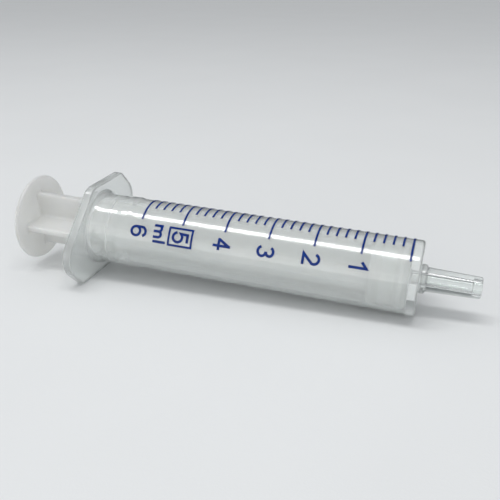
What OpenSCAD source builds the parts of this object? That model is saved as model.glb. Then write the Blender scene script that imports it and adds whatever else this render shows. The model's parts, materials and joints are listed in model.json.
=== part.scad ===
// Oral syringe, 5 ml nominal, two mouldings and a printed scale. Millimetres.
//
// Frame: +X runs along the barrel's axis towards the nozzle, +Z is up, and the origin is
// the centre of the nozzle's mouth. The syringe lies on its side: the flange's bottom
// side faces -Z, and the printed scale faces up and towards -Y.

/* [Barrel] */
// Inside diameter of the tube
bore_d = 12.3; // [11.8:0.1:12.8]
// Wall thickness of the tube
wall_t = 0.79; // [0.7:0.01:1]
// Thickness of the front end wall
end_wall_t = 1.7; // [1.2:0.1:2.2]
// Corner radius of the tube's front rim
rim_r = 0.6; // [0.3:0.1:0.7]
// Length of tube between the last printed line and the flange
tail_l = 11.2; // [10.8:0.1:14]
// Distance from the flange to the middle of the raised ring round the tube
ring_gap = 7.1; // [5:0.1:9]
// Width of the raised ring
ring_w = 3; // [2.4:0.1:3.6]
// How far the raised ring stands out from the tube
ring_h = 0.15; // [0.05:0.05:0.25]
// Height of the retaining bead inside the tube
bead_h = 0.15; // [0.1:0.01:0.18]

/* [Nozzle] */
// Length of the nozzle, from the end wall to the mouth
nozzle_l = 10.5; // [8:0.1:12]
// Outside diameter at the mouth
nozzle_tip_d = 3.95; // [3.8:0.01:4.1]
// Taper of the outside, as diameter over length
nozzle_taper = 0.06; // [0.05:0.005:0.07]
// Diameter of the bore
nozzle_bore_d = 1.7; // [1.4:0.1:2]
// Diameter of the wider mouth of the bore
mouth_d = 2.2; // [2.1:0.1:2.6]
// Depth of the wider mouth
mouth_l = 1.6; // [0.8:0.1:2]
// Diameter of the collar at the nozzle's root
collar_d = 5.4; // [5:0.1:6]
// Length of the collar
collar_l = 1; // [0.6:0.1:1.5]

/* [Flange] */
// Thickness of the finger flange
flange_t = 1.8; // [1.4:0.05:2.4]
// Half of the flange's length, from the axis to the end of a lobe
flange_reach = 12.65; // [11.5:0.05:14]
// Distance from the axis to each long side
flange_side = 8.6; // [8.5:0.1:9]
// Distance from the axis to each slanted side
flange_slant = 9.1; // [8.8:0.1:9.4]
// Radius of the corner between a lobe's end and the long side
flange_big_r = 4.4; // [3:0.1:5]
// Radius of the corner between a lobe's end and the slanted side
flange_tip_r = 2; // [0.5:0.1:3]
// Radius of the corner between the slanted side and the other long side
flange_elbow_r = 3.6; // [0.5:0.1:4]
// Radius of the fillet between the tube and the flange
flange_fillet = 1.2; // [0.6:0.1:1.3]
// Turn of the flange about the barrel's axis, with a slanted side facing down
flange_turn = 45; // [45]

/* [Plunger] */
// Radial gap between the piston's lips and the bore
lip_gap = 0.03; // [0.01:0.01:0.06]
// Gap between the piston and the end wall when pushed fully in
rest_gap = 0.3; // [0.2:0.05:0.5]
// Length of the piston head
head_l = 6.9; // [6.5:0.1:10]
// Diameter over the rod's ribs
rod_d = 11.5; // [10.5:0.1:11.6]
// Thickness of a rib
rib_t = 1.3; // [1:0.1:1.8]
// Turn of the ribs about the axis
rib_turn = 7; // [0:1:45]
// Diameter of the thumb disc
disc_d = 17.3; // [15:0.1:17.6]
// Thickness of the thumb disc
disc_t = 1; // [1:0.1:2]
// Gap between the flange and the thumb disc when pushed fully in
thumb_gap = 12.5; // [8:0.1:14]

/* [Printed scale] */
// Largest volume on the scale, in ml
scale_ml = 6; // [6]
// Short lines in each ml, the long one included
steps_per_ml = 5; // [5]
// Thickness of the ink
ink_t = 0.05; // [0.03:0.01:0.08]
// Width of a graduation line
line_w = 0.4; // [0.3:0.02:0.5]
// Angle about the axis where every line starts, from straight up towards -Y
line_start = -38; // [-40:1:0]
// Angle where the short lines end
minor_end = 18.7; // [10:0.1:30]
// Angle where the long lines end
major_end = 43.3; // [35:0.1:50]
// Angle of the row of numerals
numeral_angle = 63; // [58:0.5:70]
// Height of a numeral between the middles of its strokes
numeral_h = 2.9; // [2.4:0.1:3.2]
// Distance from a long line back to the middle of its numeral
numeral_shift = 0.15; // [0:0.05:0.3]
// Width of a numeral between the middles of its strokes
numeral_w = 1.75; // [1.4:0.05:2]
// Stroke width of the numerals and letters
stroke_w = 0.5; // [0.3:0.02:0.52]
// Size of the box round the 5, along the axis and round the tube
box_size = [4.6, 3.3]; // [3:0.1:6]
// Distance of the unit mark from the 5 line, along the axis
unit_shift = 4.2; // [4.1:0.1:4.8]
// Height of the unit mark's tall letter
unit_h = 2.6; // [2.2:0.1:2.8]

/* [Hidden] */
$fn = 96;

clear_plastic = [0.86, 0.9, 0.89, 0.45];
milky_plastic = [0.87, 0.87, 0.84];
ink_blue = [0.07, 0.16, 0.5];

bore_r = bore_d / 2;
tube_r = bore_r + wall_t;
core_r = tube_r + flange_fillet + 0.2;          // round middle of the flange
ml_l = 1000 / (PI * bore_r * bore_r);          // 1 ml is 1000 cubic millimetres

// Stations along the axis, from the mouth of the nozzle backwards
shoulder_x = -nozzle_l;
end_wall_x = shoulder_x - end_wall_t;
zero_x = end_wall_x - rest_gap;
last_mark_x = zero_x - scale_ml * ml_l;
flange_x = last_mark_x - tail_l;
rear_x = flange_x - flange_t;
disc_x = rear_x - thumb_gap;
ring_x = flange_x + ring_gap;
head_rear_x = zero_x - head_l;

travel = scale_ml * ml_l;                      // the slide's range, 50.5 mm
bead_w = 1;
bead_x = head_rear_x - travel - rest_gap - bead_w / 2;

lip_r = bore_r - lip_gap;
lip_w = 0.7;
waist_r = bore_r - 0.55;
head_nose_r = bore_r - 0.7;

function unit(v) = v / norm(v);
function reverse(v) = [for (i = [len(v) - 1 : -1 : 0]) v[i]];

// Points of an arc of an ellipse with half axes rx and ry
function oval(centre, rx, ry, from, to, n) =
    [for (i = [0 : n]) let (a = from + (to - from) * i / n) centre + [rx * cos(a), ry * sin(a)]];

// Points of a circular arc
function arc(centre, r, from, to, n) = oval(centre, r, r, from, to, n);

// Points that round the corner at b, on the way from a to c
function round_corner(a, b, c, r, n = 6) =
    let (u = unit(a - b),
         w = unit(c - b),
         half = acos(u * w) / 2,
         m = b + unit(u + w) * r / sin(half),
         s = b + u * r / tan(half) - m,
         e = b + w * r / tan(half) - m,
         from = atan2(s.y, s.x),
         sweep = (atan2(e.y, e.x) - from + 540) % 360 - 180)
    arc(m, r, from, from + sweep, n);

// An outline from corners of the form [x, y, radius]
function outline(corners) =
    let (n = len(corners), p = [for (c = corners) [c.x, c.y]])
    [for (i = [0 : n - 1]) each
        corners[i][2] == 0 ? [p[i]]
        : round_corner(p[(i + n - 1) % n], p[i], p[(i + 1) % n], corners[i][2])];

// Turns a profile of [radius, place along +X] about the syringe's axis
module turned(corners) {
    rotate([0, 90, 0])
        rotate_extrude() polygon(outline(corners));
}

// A plate across the axis, drawn as seen from the front, from x to x + t
module plate(x, t) {
    translate([x, 0, 0]) rotate([0, 90, 0]) linear_extrude(t) children();
}

// ---------------------------------------------------------------- barrel

// Outline of the flange: two lobes, each with one slanted side
module flange_outline() {
    cut = flange_slant * sqrt(2);
    lobe = [[flange_reach, -flange_side, flange_big_r],
            [flange_reach, cut - flange_reach, flange_tip_r],
            [cut - flange_side, flange_side, flange_elbow_r]];
    polygon(outline(concat(lobe, [for (c = lobe) [-c.x, -c.y, c[2]]])));
}

module tube_and_nozzle() {
    root_r = nozzle_tip_d / 2 + nozzle_taper / 2 * (nozzle_l - collar_l);
    lead = 0.3;
    turned([
        [mouth_d / 2, 0, 0.1],
        [nozzle_tip_d / 2, 0, 0.35],
        [root_r, shoulder_x + collar_l, 0],
        [collar_d / 2, shoulder_x + collar_l, 0.45],
        [collar_d / 2, shoulder_x, 0],
        [tube_r, shoulder_x, rim_r],
        [tube_r, ring_x + ring_w / 2, 1],
        [tube_r + ring_h, ring_x + ring_w / 4, 1],
        [tube_r + ring_h, ring_x - ring_w / 4, 1],
        [tube_r, ring_x - ring_w / 2, 1],
        [tube_r, flange_x, flange_fillet],
        [core_r, flange_x, 0],
        [core_r, rear_x, 0],
        [bore_r + lead, rear_x, 0],
        [bore_r, rear_x + lead, 0],
        [bore_r, bead_x - bead_w / 2, 0],
        [bore_r - bead_h, bead_x - bead_w / 4, 0],
        [bore_r - bead_h, bead_x + bead_w / 4, 0],
        [bore_r, bead_x + bead_w / 2, 0],
        [bore_r, end_wall_x, 0.3],
        [nozzle_bore_d / 2, end_wall_x, 0.3],
        [nozzle_bore_d / 2, -mouth_l, 0],
        [mouth_d / 2, -mouth_l, 0]]);
}

module flange() {
    difference() {
        plate(rear_x, flange_t) rotate(-flange_turn) flange_outline();
        translate([rear_x - 1, 0, 0]) rotate([0, 90, 0]) cylinder(h = flange_t + 2, r = core_r - 0.2);
    }
}

module barrel() {
    color(clear_plastic) union() {
        tube_and_nozzle();
        flange();
    }
}

// --------------------------------------------------------------- plunger

// Two soft lips press on the bore, with a relieved waist between them
module piston_head() {
    turned([
        [0, zero_x, 0],
        [head_nose_r, zero_x, 0.3],
        [lip_r, zero_x - 0.8, 0.2],
        [lip_r, zero_x - 0.8 - lip_w, 0.2],
        [waist_r, zero_x - 2.3, 0.4],
        [waist_r, head_rear_x + 2, 0.4],
        [lip_r, head_rear_x + 0.4 + lip_w, 0.2],
        [lip_r, head_rear_x + 0.4, 0.2],
        [lip_r - 0.4, head_rear_x, 0],
        [0, head_rear_x, 0]]);
}

// Four ribs in a cross, whose ends follow the rod's round outline
module rod() {
    intersection() {
        plate(disc_x, head_rear_x - disc_x) {
            square([rod_d + 1, rib_t], center = true);
            square([rib_t, rod_d + 1], center = true);
        }
        translate([disc_x - 1, 0, 0]) rotate([0, 90, 0])
            cylinder(h = head_rear_x - disc_x + 2, d = rod_d);
    }
}

module thumb_disc() {
    turned([
        [0, disc_x, 0],
        [disc_d / 2, disc_x, 0.45],
        [disc_d / 2, disc_x - disc_t, 0.45],
        [0, disc_x - disc_t, 0]]);
}

module plunger() {
    color(milky_plastic) rotate([rib_turn, 0, 0]) union() {
        piston_head();
        rod();
        thumb_disc();
    }
}

// --------------------------------------------------------- printed scale

// Place along the axis of a volume on the scale
function mark_x(ml) = zero_x - ml * ml_l;

// One graduation line: a strip of ink part of the way round the tube
module graduation(ml, end_angle) {
    translate([mark_x(ml), 0, 0]) rotate([0, 90, 0]) rotate([0, 0, 180 + line_start])
        rotate_extrude(angle = end_angle - line_start)
            translate([tube_r, -line_w / 2]) square([ink_t, line_w]);
}

module minor_graduations() {
    color(ink_blue)
        for (i = [0 : scale_ml * steps_per_ml])
            if (i % steps_per_ml != 0) graduation(i / steps_per_ml, minor_end);
}

module major_graduations() {
    color(ink_blue)
        for (ml = [0 : scale_ml]) graduation(ml, major_end);
}

// Lays a flat drawing on the tube as ink. In the drawing, +X is the reading direction,
// which goes round the tube, and +Y is up for the reader, which is towards the nozzle.
module printed(x, angle) {
    color(ink_blue) intersection() {
        translate([x, 0, 0]) rotate([angle, 0, 0]) rotate([0, 0, -90])
            translate([0, 0, bore_r]) linear_extrude(wall_t + 1) children();
        translate([x - 5, 0, 0]) rotate([0, 90, 0]) difference() {
            cylinder(h = 10, r = tube_r + ink_t);
            translate([0, 0, -1]) cylinder(h = 12, r = tube_r);
        }
    }
}

// One side of a pen stroke that follows a path
function stroke_side(path, d) =
    let (last = len(path) - 1)
    [for (i = [0 : last])
        let (t0 = unit(i == 0 ? path[1] - path[0] : path[i] - path[i - 1]),
             t1 = unit(i == last ? path[i] - path[i - 1] : path[i + 1] - path[i]),
             n = unit([-t0.y - t1.y, t0.x + t1.x]))
        path[i] + n * d / (n * [-t0.y, t0.x])];

module stroke(path) {
    polygon(concat(stroke_side(path, stroke_w / 2), reverse(stroke_side(path, -stroke_w / 2))));
}

// A closed loop of pen stroke
module ring(centre, r) {
    translate(centre) difference() {
        circle(r + stroke_w / 2, $fn = 32);
        circle(r - stroke_w / 2, $fn = 32);
    }
}

// The numerals' outer lines: half the width and half the height of a numeral
hw = numeral_w / 2;
hh = numeral_h / 2;
bowl_r = hw;

module glyph_1() {
    stroke([[-hw, hh - 0.9], [0.2, hh], [0.2, -hh - stroke_w / 2]]);
}

module glyph_2() {
    stroke(concat(arc([0, hh - bowl_r], bowl_r, 165, -25, 12),
                  [[-hw, -hh], [hw + stroke_w / 2, -hh]]));
}

module glyph_3() {
    top_r = numeral_h * 0.235;
    low_r = numeral_h / 2 - top_r;
    stroke(oval([0, hh - top_r], hw * 0.9, top_r, 165, -90, 14));
    stroke(oval([0, low_r - hh], hw, low_r, 90, -165, 14));
}

module glyph_4() {
    bar_y = -hh + numeral_h * 0.3;
    stem_x = hw * 0.35;
    stroke([[stem_x, -hh - stroke_w / 2], [stem_x, hh + stroke_w / 2]]);
    stroke([[stem_x, hh], [-hw, bar_y + 0.1]]);
    stroke([[-hw - stroke_w / 2, bar_y], [hw + stroke_w / 2, bar_y]]);
}

module glyph_5() {
    low_r = numeral_h * 0.32;
    from = 140;
    start = [0, low_r - hh] + low_r * [cos(from), sin(from)];
    stroke(concat([[hw, hh], [start.x + 0.1, hh], start],
                  arc([0, low_r - hh], low_r, 120, -170, 16)));
}

module glyph_6() {
    ring([0, bowl_r - hh], bowl_r);
    stroke(concat([[-bowl_r, bowl_r - hh]], arc([0, hh - bowl_r], bowl_r, 180, 20, 10)));
}

module numeral_1() { printed(mark_x(1) - numeral_shift, numeral_angle) glyph_1(); }
module numeral_2() { printed(mark_x(2) - numeral_shift, numeral_angle) glyph_2(); }
module numeral_3() { printed(mark_x(3) - numeral_shift, numeral_angle) glyph_3(); }
module numeral_4() { printed(mark_x(4) - numeral_shift, numeral_angle) glyph_4(); }
module numeral_5() { printed(mark_x(5), numeral_angle) glyph_5(); }
module numeral_6() { printed(mark_x(6) - numeral_shift, numeral_angle) glyph_6(); }

module capacity_box() {
    printed(mark_x(5), numeral_angle) difference() {
        square([box_size.y + line_w, box_size.x + line_w], center = true);
        square([box_size.y - line_w, box_size.x - line_w], center = true);
    }
}

// An m of three legs joined by two arches, and a tall l beside it
module unit_glyphs() {
    arch_r = 0.55;
    x_height = 1.55;
    base_y = -unit_h / 2;
    left_x = -1.6;
    stroke([[left_x, base_y], [left_x, base_y + x_height + stroke_w / 2]]);
    for (k = [0, 1])
        stroke(concat(arc([left_x + arch_r * (2 * k + 1), base_y + x_height - arch_r], arch_r, 180, 0, 12),
                      [[left_x + arch_r * (2 * k + 2), base_y]]));
    stroke([[left_x + arch_r * 4 + 0.85, base_y], [left_x + arch_r * 4 + 0.85, base_y + unit_h]]);
}

module unit_mark() { printed(mark_x(5) - unit_shift, numeral_angle) unit_glyphs(); }

barrel();
plunger();
minor_graduations();
major_graduations();
numeral_1();
numeral_2();
numeral_3();
numeral_4();
numeral_5();
numeral_6();
capacity_box();
unit_mark();
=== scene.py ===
"""Oral syringe: the looks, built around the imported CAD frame.

Metres, in the CAD's frame: +X runs along the axis out of the nozzle, +Z is up, and the
origin is the centre of the nozzle's mouth. Angles round the axis start at straight up and
grow towards -Y, the side that the printed scale faces.
"""
import json
import math

import bpy
import numpy as np
from mathutils import Matrix, Vector


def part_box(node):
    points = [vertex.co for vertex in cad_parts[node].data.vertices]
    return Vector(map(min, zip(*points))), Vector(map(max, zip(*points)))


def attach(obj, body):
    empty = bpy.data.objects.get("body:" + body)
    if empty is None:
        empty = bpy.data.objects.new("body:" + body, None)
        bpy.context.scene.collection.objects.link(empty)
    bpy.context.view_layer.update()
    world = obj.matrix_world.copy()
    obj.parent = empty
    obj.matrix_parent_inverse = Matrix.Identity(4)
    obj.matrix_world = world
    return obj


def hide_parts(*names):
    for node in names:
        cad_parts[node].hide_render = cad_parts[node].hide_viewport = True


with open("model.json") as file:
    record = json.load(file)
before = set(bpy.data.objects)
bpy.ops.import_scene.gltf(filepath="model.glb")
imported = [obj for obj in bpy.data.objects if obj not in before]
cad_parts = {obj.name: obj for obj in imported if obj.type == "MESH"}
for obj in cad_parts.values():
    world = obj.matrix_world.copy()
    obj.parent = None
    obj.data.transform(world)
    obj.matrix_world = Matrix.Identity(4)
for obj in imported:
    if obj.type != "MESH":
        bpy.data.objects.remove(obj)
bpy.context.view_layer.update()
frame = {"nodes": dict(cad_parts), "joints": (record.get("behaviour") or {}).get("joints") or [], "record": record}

MM = 0.001

# ------------------------------------------------------------------ sizes
# Stations along the axis come from the frame; cross-sections repeat part.scad's sizes.
barrel_low, barrel_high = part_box("barrel")
plunger_low, plunger_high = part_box("plunger")
mouth_x = barrel_high[0]
rear_x = barrel_low[0]
disc_rear_x = plunger_low[0]
zero_x = plunger_high[0]

BORE_R = 6.15 * MM
TUBE_R = 6.94 * MM
NOZZLE_L = 10.5 * MM
END_WALL_T = 1.7 * MM
COLLAR_R = 2.7 * MM
COLLAR_L = 1.0 * MM
NOZZLE_TIP_R = 1.975 * MM
NOZZLE_ROOT_R = 2.25 * MM
NOZZLE_BORE_R = 0.85 * MM
MOUTH_R = 1.1 * MM
MOUTH_L = 1.6 * MM
RING_GAP = 7.1 * MM
RING_W = 3.0 * MM
RING_H = 0.15 * MM
FLANGE_T = 1.8 * MM
FLANGE_REACH = 12.65 * MM
FLANGE_SIDE = 8.6 * MM
FLANGE_SLANT = 9.1 * MM
FLANGE_BIG_R = 4.4 * MM
FLANGE_TIP_R = 2.0 * MM
FLANGE_ELBOW_R = 3.6 * MM
FLANGE_FILLET = 1.2 * MM
FLANGE_TURN = math.radians(45)
RIM_R = 0.6 * MM  # rounding of the tube's front rim
EDGE_R = 0.35 * MM  # rounding of the flange's edges and of the nozzle's mouth
LEAD_IN = 0.3 * MM  # the bore widens by this much at its rear end
BEAD_H = 0.15 * MM
BEAD_CREST = 0.25 * MM  # half the length of the bead's top
BEAD_FOOT = 0.5 * MM  # half the length of the bead where it leaves the bore
BEAD_GAP = 0.8 * MM  # from the head at full travel to the middle of the bead

HEAD_L = 6.9 * MM
LIP_R = 6.12 * MM
WAIST_R = 5.6 * MM
NOSE_R = 5.45 * MM
# each lip's crest, from and to, and its foot, measured from the head's nearer end
REAR_LIP_FROM, REAR_LIP_TO, REAR_LIP_FOOT = 0.4 * MM, 1.1 * MM, 2.0 * MM
NOSE_LIP_FROM, NOSE_LIP_TO, NOSE_LIP_FOOT = 0.8 * MM, 1.5 * MM, 2.3 * MM
ROD_R = 5.75 * MM
RIB_T = 1.3 * MM
RIB_TURN = math.radians(7)
ROD_FILLET = 0.4 * MM
DISC_T = 1.0 * MM
disc_r = (plunger_high[2] - plunger_low[2]) / 2
disc_x = disc_rear_x + DISC_T
head_rear_x = zero_x - HEAD_L
shoulder_x = mouth_x - NOZZLE_L
end_wall_x = shoulder_x - END_WALL_T
flange_x = rear_x + FLANGE_T
ring_x = flange_x + RING_GAP
travel = frame["joints"][0]["range_m"][1]
bead_x = head_rear_x - travel - BEAD_GAP

# ------------------------------------------------------------ mesh helpers


def arc(centre, radius, start, end, steps):
    """Points of a circular arc, angles in degrees."""
    turn = np.radians(np.linspace(start, end, steps + 1))
    return np.stack([centre[0] + radius * np.cos(turn), centre[1] + radius * np.sin(turn)], 1)


def round_corner(before, at, after, radius, steps):
    """Points that round the corner at `at` on the way from `before` to `after`."""
    u = (before - at) / np.linalg.norm(before - at)
    w = (after - at) / np.linalg.norm(after - at)
    half = math.acos(max(-1.0, min(1.0, float(u @ w)))) / 2
    middle = at + (u + w) / np.linalg.norm(u + w) * radius / math.sin(half)
    start = at + u * radius / math.tan(half) - middle
    end = at + w * radius / math.tan(half) - middle
    start_deg = math.degrees(math.atan2(start[1], start[0]))
    end_deg = math.degrees(math.atan2(end[1], end[0]))
    sweep = (end_deg - start_deg + 540) % 360 - 180
    return arc(middle, radius, start_deg, start_deg + sweep, steps)


def outline(corners, steps=6, closed=True):
    """An outline from corners (a, b, radius); an open one keeps its two ends as they are."""
    points = np.array([c[:2] for c in corners], float)
    out = []
    for i, corner in enumerate(corners):
        is_end = not closed and i in (0, len(corners) - 1)
        if corner[2] == 0 or is_end:
            out.append(points[i][None])
        else:
            after = points[(i + 1) % len(points)]
            out.append(round_corner(points[i - 1], points[i], after, corner[2], steps))
    return np.concatenate(out)


def ring(x, radius, angles):
    """One ring of points round the axis; x and radius may change with the angle."""
    x = np.broadcast_to(x, angles.shape)
    radius = np.broadcast_to(radius, angles.shape)
    return np.stack([x, -radius * np.sin(angles), radius * np.cos(angles)], 1)


def reach_at(points, angles, per_side):
    """Distance from the origin to a closed outline at each angle, from points along its sides."""
    share = np.linspace(0, 1, per_side, endpoint=False)[:, None]
    dense = np.concatenate([
        points[i] * (1 - share) + points[(i + 1) % len(points)] * share
        for i in range(len(points))])
    around = np.mod(np.arctan2(dense[:, 1], dense[:, 0]), 2 * math.pi)
    order = np.argsort(around)
    reach = np.hypot(dense[:, 0], dense[:, 1])
    wanted = np.mod(angles, 2 * math.pi)
    return np.interp(wanted, around[order], reach[order], period=2 * math.pi)


def with_holding_rings(rings, hold=0.06 * MM, closed=False):
    """Adds a ring close to each end of every long stretch, which keeps flat faces flat."""
    out = []
    count = len(rings)
    for i, here in enumerate(rings):
        out.append(here)
        if i == count - 1 and not closed:
            break
        there = rings[(i + 1) % count]
        span = np.linalg.norm(there - here, axis=1, keepdims=True)
        if span.max() > 8 * hold:
            step = (there - here) * np.minimum(0.3, hold / np.maximum(span, 1e-9))
            out += [here + step, there - step]
    return out


def skin(name, rings, closed):
    """A closed mesh over rings of equal length: a tube back to its start, or ended by two poles."""
    n = len(rings[0])
    verts = [tuple(p) for r in rings for p in r]
    faces = []
    spans = len(rings) if closed else len(rings) - 1
    for k in range(spans):
        a, b = k * n, ((k + 1) % len(rings)) * n
        faces += [(a + i, a + (i + 1) % n, b + (i + 1) % n, b + i) for i in range(n)]
    if not closed:
        for k, flip in ((0, False), (len(rings) - 1, True)):
            verts.append(tuple(rings[k].mean(0)))
            pole, a = len(verts) - 1, k * n
            for i in range(n):
                pair = (a + i, a + (i + 1) % n)
                faces.append((pole, *(pair if flip else pair[::-1])))
    mesh = bpy.data.meshes.new(name)
    mesh.from_pydata(verts, [], faces)
    mesh.validate()
    mesh.shade_smooth()
    make_outward(mesh)
    obj = bpy.data.objects.new(name, mesh)
    bpy.context.scene.collection.objects.link(obj)
    return obj


def make_outward(mesh):
    """Flips every face if the closed mesh is inside out."""
    volume = 0.0
    for face in mesh.polygons:
        p = [mesh.vertices[v].co for v in face.vertices]
        for i in range(1, len(p) - 1):
            volume += p[0].dot(p[i].cross(p[i + 1]))
    if volume < 0:
        mesh.flip_normals()
    mesh.update()


# ------------------------------------------------------- material helpers

# How much of a lamp's light passes through the tube and the plunger to what they cover
LAMP_SHARE = 0.5


class Nodes:
    """Short names for building the node tree of a new material, or of the world."""

    def __init__(self, name=None, tree=None):
        if name:
            self.material = bpy.data.materials.new(name)
            self.material.use_nodes = True
            tree = self.material.node_tree
        self.tree = tree
        self.tree.nodes.clear()
        if name:
            self.out = self.add("ShaderNodeOutputMaterial")

    def add(self, kind, **values):
        node = self.tree.nodes.new(kind)
        for key, value in values.items():
            setattr(node, key, value)
        return node

    def link(self, source, target):
        self.tree.links.new(source, target)

    def noise(self, scale, detail=3.0, rough=0.5, vector=None):
        node = self.add("ShaderNodeTexNoise")
        node.inputs["Scale"].default_value = scale
        node.inputs["Detail"].default_value = detail
        node.inputs["Roughness"].default_value = rough
        self.link(vector or self.coords(), node.inputs["Vector"])
        return node.outputs["Fac"]

    def coords(self):
        return self.add("ShaderNodeTexCoord").outputs["Object"]

    def stretched(self, scale):
        node = self.add("ShaderNodeMapping")
        node.inputs["Scale"].default_value = scale
        self.link(self.coords(), node.inputs["Vector"])
        return node.outputs["Vector"]

    def remap(self, source, low, high, to_low, to_high):
        node = self.add("ShaderNodeMapRange")
        limits = {"From Min": low, "From Max": high, "To Min": to_low, "To Max": to_high}
        for key, value in limits.items():
            node.inputs[key].default_value = value
        self.link(source, node.inputs["Value"])
        return node.outputs["Result"]

    def split(self, vector, axis):
        node = self.add("ShaderNodeSeparateXYZ")
        self.link(vector, node.inputs["Vector"])
        return node.outputs[axis]

    def multiply(self, first, second):
        """The product of a node's value and another's, or a plain number."""
        node = self.add("ShaderNodeMath", operation="MULTIPLY")
        self.link(first, node.inputs[0])
        if isinstance(second, float):
            node.inputs[1].default_value = second
        else:
            self.link(second, node.inputs[1])
        return node.outputs["Value"]

    def bump(self, height, distance, strength=None):
        node = self.add("ShaderNodeBump")
        node.inputs["Distance"].default_value = distance
        self.link(height, node.inputs["Height"])
        if strength:
            self.link(strength, node.inputs["Strength"])
        return node.outputs["Normal"]

    def blend(self, factor, first, second):
        """A colour between two others, each a plain colour or another node's."""
        node = self.add("ShaderNodeMix", data_type="RGBA")
        self.link(factor, node.inputs["Factor"])
        for key, colour in (("A", first), ("B", second)):
            if isinstance(colour, tuple):
                node.inputs[key].default_value = (*colour, 1)
            else:
                self.link(colour, node.inputs[key])
        return node.outputs["Result"]

    def letting_lamps_through(self, shader, share):
        """The shader, which blocks only the rest of the light on its way to what it covers."""
        from_lamp = self.add("ShaderNodeLightPath").outputs["Is Shadow Ray"]
        mix = self.add("ShaderNodeMixShader")
        self.link(self.multiply(from_lamp, share), mix.inputs["Fac"])
        self.link(shader.outputs["BSDF"], mix.inputs[1])
        self.link(self.add("ShaderNodeBsdfTransparent").outputs["BSDF"], mix.inputs[2])
        return mix.outputs["Shader"]

    def principled(self, **sockets):
        node = self.add("ShaderNodeBsdfPrincipled")
        for key, value in sockets.items():
            node.inputs[key.replace("_", " ")].default_value = value
        return node


def clear_plastic():
    """Moulded clear polypropylene: a hazy body under a glossy skin that ripples near the flange."""
    n = Nodes("clear_plastic")
    shader = n.principled(IOR=1.49, Coat_Weight=1.0, Coat_Roughness=0.03)
    tone = n.remap(n.noise(220, 3, 0.5), 0.3, 0.7, 0, 1)
    n.link(n.blend(tone, (0.885, 0.92, 0.91), (0.93, 0.955, 0.945)), shader.inputs["Base Color"])
    n.link(n.remap(n.noise(900, 4, 0.6), 0.3, 0.7, 0.08, 0.14), shader.inputs["Roughness"])
    x = n.split(n.coords(), "X")
    near_flange = n.remap(x, ring_x + RING_W, ring_x - RING_W, 0.1, 1)
    off_the_nozzle = n.remap(x, shoulder_x - 3 * MM, shoulder_x - 1 * MM, 1, 0)
    # the flange is a little less clear than the tube, and the nozzle clearer
    off_the_flange = n.remap(x, flange_x - 0.2 * MM, flange_x + FLANGE_FILLET, 0.9, 1)
    behind_the_wall = n.remap(x, end_wall_x - 1 * MM, end_wall_x + 0.5 * MM, 1, 0)
    nozzle_is_clearer = n.remap(x, shoulder_x, shoulder_x + COLLAR_L, 1, 1.2)
    clearness = n.multiply(off_the_flange, nozzle_is_clearer)
    n.link(n.remap(clearness, 0, 1.2, 0, 0.93), shader.inputs["Transmission Weight"])
    waves = n.noise(1, 2, 0.5, n.stretched((420, 160, 160)))
    skin_normal = n.bump(waves, 0.05 * MM, n.multiply(near_flange, off_the_nozzle))
    n.link(skin_normal, shader.inputs["Normal"])
    n.link(skin_normal, shader.inputs["Coat Normal"])
    tube_only = n.multiply(n.remap(off_the_flange, 0.9, 1, 0, 1), behind_the_wall)
    share = n.remap(tube_only, 0, 1, 0, LAMP_SHARE)
    n.link(n.letting_lamps_through(shader, share), n.out.inputs["Surface"])
    return n.material


def milky_plastic():
    """Natural polyethylene: milky, light goes a little way in, satin surface."""
    n = Nodes("milky_plastic")
    shader = n.principled(
        IOR=1.51, Subsurface_Weight=1.0, Subsurface_Scale=4 * MM, Transmission_Weight=0.4)
    shader.inputs["Subsurface Radius"].default_value = (1.0, 0.97, 0.9)
    tone = n.remap(n.noise(160, 3, 0.5), 0.3, 0.7, 0, 1)
    n.link(n.blend(tone, (0.79, 0.795, 0.775), (0.85, 0.855, 0.835)), shader.inputs["Base Color"])
    n.link(n.remap(n.noise(700, 4, 0.6), 0.3, 0.7, 0.28, 0.42), shader.inputs["Roughness"])
    grain = n.noise(2500, 3, 0.5)
    n.link(n.bump(grain, 0.01 * MM), shader.inputs["Normal"])
    n.link(n.letting_lamps_through(shader, LAMP_SHARE), n.out.inputs["Surface"])
    return n.material


def printed_ink():
    """Dark blue pad-printed ink, glossy, a little uneven in density."""
    n = Nodes("printed_ink")
    shader = n.principled(IOR=1.35)
    density = n.remap(n.noise(1800, 4, 0.6), 0.35, 0.7, 0, 1)
    n.link(n.blend(density, (0.0, 0.014, 0.12), (0.001, 0.028, 0.20)), shader.inputs["Base Color"])
    n.link(n.remap(n.noise(3000, 3, 0.5), 0.3, 0.7, 0.07, 0.16), shader.inputs["Roughness"])
    n.link(n.bump(n.noise(4000, 2, 0.5), 0.004 * MM), shader.inputs["Normal"])
    n.link(shader.outputs["BSDF"], n.out.inputs["Surface"])
    return n.material


def table_top():
    """Plain pale grey table, matt with a fine tooth."""
    n = Nodes("table_top")
    shader = n.principled(IOR=1.45, Roughness=0.6)
    tone = n.noise(25, 4, 0.5)
    n.link(n.blend(tone, (0.71, 0.725, 0.73), (0.74, 0.755, 0.76)), shader.inputs["Base Color"])
    n.link(n.bump(n.noise(2500, 3, 0.6), 0.02 * MM), shader.inputs["Normal"])
    n.link(shader.outputs["BSDF"], n.out.inputs["Surface"])
    return n.material


# ----------------------------------------------------------------- barrel


def flange_radius(angles):
    """Distance from the axis to the flange's outline at each angle round the axis."""
    cut = FLANGE_SLANT * math.sqrt(2)
    lobe = [
        (FLANGE_REACH, -FLANGE_SIDE, FLANGE_BIG_R),
        (FLANGE_REACH, cut - FLANGE_REACH, FLANGE_TIP_R),
        (cut - FLANGE_SIDE, FLANGE_SIDE, FLANGE_ELBOW_R),
    ]
    points = outline(lobe + [(-a, -b, r) for a, b, r in lobe], steps=24)
    # before the flange is turned, the drawing's first axis points straight down, which is
    # half a turn away from where the rings' angles start
    return reach_at(points, angles - math.pi + FLANGE_TURN, per_side=40)


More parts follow.
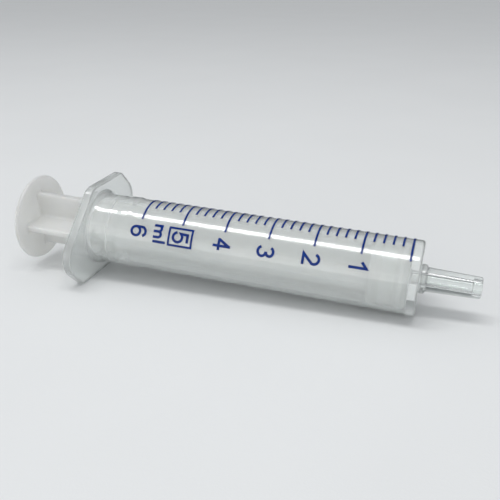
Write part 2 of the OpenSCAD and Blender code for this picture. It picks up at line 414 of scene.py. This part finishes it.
def quarter(steps=4):
    """Angles from 0 to a quarter turn, for rounding an edge."""
    return np.radians(np.linspace(0, 90, steps + 1))


def barrel_rings(angles):
    """Rings of the barrel, from the nozzle's mouth over the outside, and back inside."""
    rho = flange_radius(angles)
    spare = rho - TUBE_R - FLANGE_FILLET
    # the front edge's rounding shrinks where the flange hardly stands out past its fillet
    front_edge = np.minimum(EDGE_R, spare * 0.45)
    front = outline([
        (MOUTH_R, mouth_x, 0),
        (NOZZLE_TIP_R, mouth_x, EDGE_R),
        (NOZZLE_ROOT_R, shoulder_x + COLLAR_L, 0.15 * MM),
        (COLLAR_R, shoulder_x + COLLAR_L, 0.42 * MM),
        (COLLAR_R, shoulder_x, 0.12 * MM),
        (TUBE_R, shoulder_x, RIM_R),
        (TUBE_R, ring_x + RING_W / 2, 1.0 * MM),
        (TUBE_R + RING_H, ring_x + RING_W / 4, 1.0 * MM),
        (TUBE_R + RING_H, ring_x - RING_W / 4, 1.0 * MM),
        (TUBE_R, ring_x - RING_W / 2, 1.0 * MM),
        (TUBE_R, flange_x + FLANGE_FILLET + 0.1 * MM, 0),
    ], closed=False)
    rings = [ring(x, r, angles) for r, x in front]
    for a in quarter(8):
        out = TUBE_R + FLANGE_FILLET * (1 - math.cos(a))
        rings.append(ring(flange_x + FLANGE_FILLET * (1 - math.sin(a)), out, angles))
    for a in quarter():
        x = flange_x - front_edge * (1 - math.cos(a))
        rings.append(ring(x, rho - front_edge * (1 - math.sin(a)), angles))
    for a in quarter():
        x = rear_x + EDGE_R * (1 - math.sin(a))
        rings.append(ring(x, rho - EDGE_R * (1 - math.cos(a)), angles))
    inside = outline([
        (BORE_R + 3 * LEAD_IN, rear_x, 0),
        (BORE_R + LEAD_IN, rear_x, 0.15 * MM),
        (BORE_R, rear_x + LEAD_IN, 0.3 * MM),
        (BORE_R, bead_x - BEAD_FOOT, 0.2 * MM),
        (BORE_R - BEAD_H, bead_x - BEAD_CREST, 0.2 * MM),
        (BORE_R - BEAD_H, bead_x + BEAD_CREST, 0.2 * MM),
        (BORE_R, bead_x + BEAD_FOOT, 0.2 * MM),
        (BORE_R, end_wall_x, 0.3 * MM),
        (NOZZLE_BORE_R, end_wall_x, 0.3 * MM),
        (NOZZLE_BORE_R, mouth_x - MOUTH_L, 0.08 * MM),
        (MOUTH_R, mouth_x - MOUTH_L, 0.08 * MM),
        (MOUTH_R, mouth_x - 0.1 * MM, 0),
    ], closed=False)
    rings += [ring(x, r, angles) for r, x in inside]
    return with_holding_rings(rings, closed=True)


def build_barrel():
    angles = np.linspace(0, 2 * math.pi, 384, endpoint=False)
    obj = skin("barrel_moulding", barrel_rings(angles), closed=True)
    obj.data.materials.append(clear_plastic())
    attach(obj, "barrel")
    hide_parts("barrel")


# ---------------------------------------------------------------- plunger


def rib_angles():
    """Angles round the rod, closer together at the ribs' narrow ends."""
    near = np.arange(-9, 9, 0.75)
    between = np.arange(9, 81, 2.25)
    quarter_turn = np.concatenate([near, between])
    return np.radians(np.concatenate([quarter_turn + 90 * k for k in range(4)]))


def rod_radius(angles):
    """Distance from the axis to the outline of the four ribs at each angle."""
    t = RIB_T / 2
    reach = math.sqrt(ROD_R ** 2 - t ** 2)
    quadrant = [(reach, t, 0.25 * MM), (t, t, 0.6 * MM), (t, reach, 0.25 * MM)]
    corners = []
    for k in range(4):
        c, s = round(math.cos(k * math.pi / 2)), round(math.sin(k * math.pi / 2))
        corners += [(c * a - s * b, s * a + c * b, r) for a, b, r in quadrant]
    points = outline(corners, steps=12)
    return reach_at(points, angles, per_side=60)


def grown(angles, radius, by):
    """The outline (angles, radius) moved outwards by a distance, as (angles, radius)."""
    p = np.stack([radius * np.cos(angles), radius * np.sin(angles)], 1)
    along = np.roll(p, -1, 0) - np.roll(p, 1, 0)
    normal = np.stack([along[:, 1], -along[:, 0]], 1)
    normal /= np.linalg.norm(normal, axis=1, keepdims=True)
    q = p + normal * by
    return np.arctan2(q[:, 1], q[:, 0]), np.hypot(q[:, 0], q[:, 1])


def plunger_rings():
    """Rings of the plunger, from the thumb disc's rear face to the piston's nose."""
    angles = rib_angles()
    cross = rod_radius(angles)
    turned = angles + RIB_TURN
    disc = outline([
        (0.9 * MM, disc_rear_x + 0.12 * MM, 0),
        (1.0 * MM, disc_rear_x, 0.05 * MM),
        (disc_r, disc_rear_x, 0.47 * MM),
        (disc_r, disc_x, 0.47 * MM),
        (ROD_R + 1.2 * MM, disc_x, 0),
    ], closed=False)
    rings = [ring(x, r, turned) for r, x in disc]
    for a in quarter():
        around, out = grown(angles, cross, ROD_FILLET * (1 - math.sin(a)))
        rings.append(ring(disc_x + ROD_FILLET * (1 - math.cos(a)), out, around + RIB_TURN))
    for a in quarter():
        around, out = grown(angles, cross, ROD_FILLET * (1 - math.cos(a)))
        rings.append(ring(head_rear_x - ROD_FILLET * (1 - math.sin(a)), out, around + RIB_TURN))
    head = outline([
        (LIP_R - 0.45 * MM, head_rear_x, 0),
        (LIP_R - REAR_LIP_FROM, head_rear_x, 0.1 * MM),
        (LIP_R, head_rear_x + REAR_LIP_FROM, 0.2 * MM),
        (LIP_R, head_rear_x + REAR_LIP_TO, 0.2 * MM),
        (WAIST_R, head_rear_x + REAR_LIP_FOOT, 0.5 * MM),
        (WAIST_R, zero_x - NOSE_LIP_FOOT, 0.5 * MM),
        (LIP_R, zero_x - NOSE_LIP_TO, 0.2 * MM),
        (LIP_R, zero_x - NOSE_LIP_FROM, 0.2 * MM),
        (NOSE_R, zero_x, 0.3 * MM),
        (1.0 * MM, zero_x, 0),
    ], closed=False)
    rings += [ring(x, r, turned) for r, x in head]
    return with_holding_rings(rings)


def build_plunger():
    obj = skin("plunger_moulding", plunger_rings(), closed=False)
    obj.data.materials.append(milky_plastic())
    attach(obj, "plunger")
    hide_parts("plunger")


# -------------------------------------------------------------------- ink


def ink_the_scale():
    """The printed marks keep their CAD shapes and get the ink's material."""
    ink = printed_ink()
    for name in frame["record"]["behaviour"]["bodies"]["barrel"]:
        if name != "barrel":
            mesh = frame["nodes"][name].data
            mesh.materials.clear()
            mesh.materials.append(ink)


# ------------------------------------------------------------------ stage

# The table touches the barrel's front rim and the flange's resting side
rim_point = Vector((shoulder_x - RIM_R, 0, -TUBE_R))
flange_point = Vector((flange_x, 0, barrel_low[2]))
table_along = (rim_point - flange_point).normalized()
TABLE_HALF = 2.5  # half the side of the square table


def lay_table():
    mesh = bpy.data.meshes.new("table")
    along = table_along * TABLE_HALF
    across = Vector((0, 1, 0)) * TABLE_HALF
    signs = ((-1, -1), (1, -1), (1, 1), (-1, 1))
    corners = [flange_point + along * a + across * b for a, b in signs]
    mesh.from_pydata([tuple(c) for c in corners], [], [(0, 1, 2, 3)])
    obj = bpy.data.objects.new("table", mesh)
    bpy.context.scene.collection.objects.link(obj)
    obj.data.materials.append(table_top())


def add_area_light(name, location, aim, size, power):
    lamp = bpy.data.lights.new(name, "AREA")
    lamp.shape = "RECTANGLE"
    lamp.size, lamp.size_y = size
    lamp.energy = power
    obj = bpy.data.objects.new(name, lamp)
    obj.location = location
    look = (Vector(aim) - Vector(location)).normalized()
    side = Vector((1, 0, 0))
    up = look.cross(side).normalized()
    side = up.cross(look)
    obj.matrix_world = Matrix.Translation(Vector(location)) @ Matrix(
        (side, up, -look)).transposed().to_4x4()
    bpy.context.scene.collection.objects.link(obj)


def light_studio():
    """A long overhead tube light in a pale room, brighter low in front and darker low behind."""
    world = bpy.data.worlds.new("studio")
    bpy.context.scene.world = world
    world.use_nodes = True
    n = Nodes(tree=world.node_tree)
    direction = n.add("ShaderNodeTexCoord").outputs["Generated"]
    behind = n.remap(n.split(direction, "Y"), 0.0, 0.5, 0, 1)
    in_front = n.remap(n.split(direction, "Y"), -0.2, -0.8, 0, 1)
    low = n.remap(n.split(direction, "Z"), 0.1, 0.75, 1, 0)
    room = n.blend(n.multiply(in_front, low), (0.97, 0.98, 1.0), (2.2, 2.2, 2.2))
    room = n.blend(n.multiply(behind, low), room, (0.04, 0.06, 0.065))
    background = n.add("ShaderNodeBackground")
    background.inputs["Strength"].default_value = 0.67
    n.link(room, background.inputs["Color"])
    n.link(background.outputs["Background"], n.add("ShaderNodeOutputWorld").inputs["Surface"])
    strip_x = -0.12
    height = 0.5
    lean = math.radians(8.5)
    add_area_light(
        "overhead_strip", location=(strip_x, -height * math.tan(lean), height),
        aim=(strip_x, 0, 0), size=(0.50, 0.10), power=1.25)


def place_camera():
    azimuth, elevation, roll = math.radians(17.19), math.radians(24.05), math.radians(2.02)
    back = Vector((math.sin(azimuth) * math.cos(elevation),
                   -math.cos(azimuth) * math.cos(elevation), math.sin(elevation)))
    aim = Vector((zero_x - 28.98 * MM, -4.03 * MM, 1.97 * MM))
    distance = 124 * MM
    level = Vector((-math.sin(roll), 0, math.cos(roll)))
    right = level.cross(back).normalized()
    up = back.cross(right)
    data = bpy.data.cameras.new("camera")
    data.sensor_width = 36
    data.lens = 48.18
    data.clip_start = 1 * MM
    obj = bpy.data.objects.new("camera", data)
    obj.matrix_world = Matrix.Translation(aim + back * distance) @ Matrix(
        (right, up, back)).transposed().to_4x4()
    bpy.context.scene.collection.objects.link(obj)
    bpy.context.scene.camera = obj


bpy.context.scene.view_settings.view_transform = "Standard"
place_camera()
build_barrel()
build_plunger()
ink_the_scale()
lay_table()
light_studio()

bpy.context.view_layer.update()
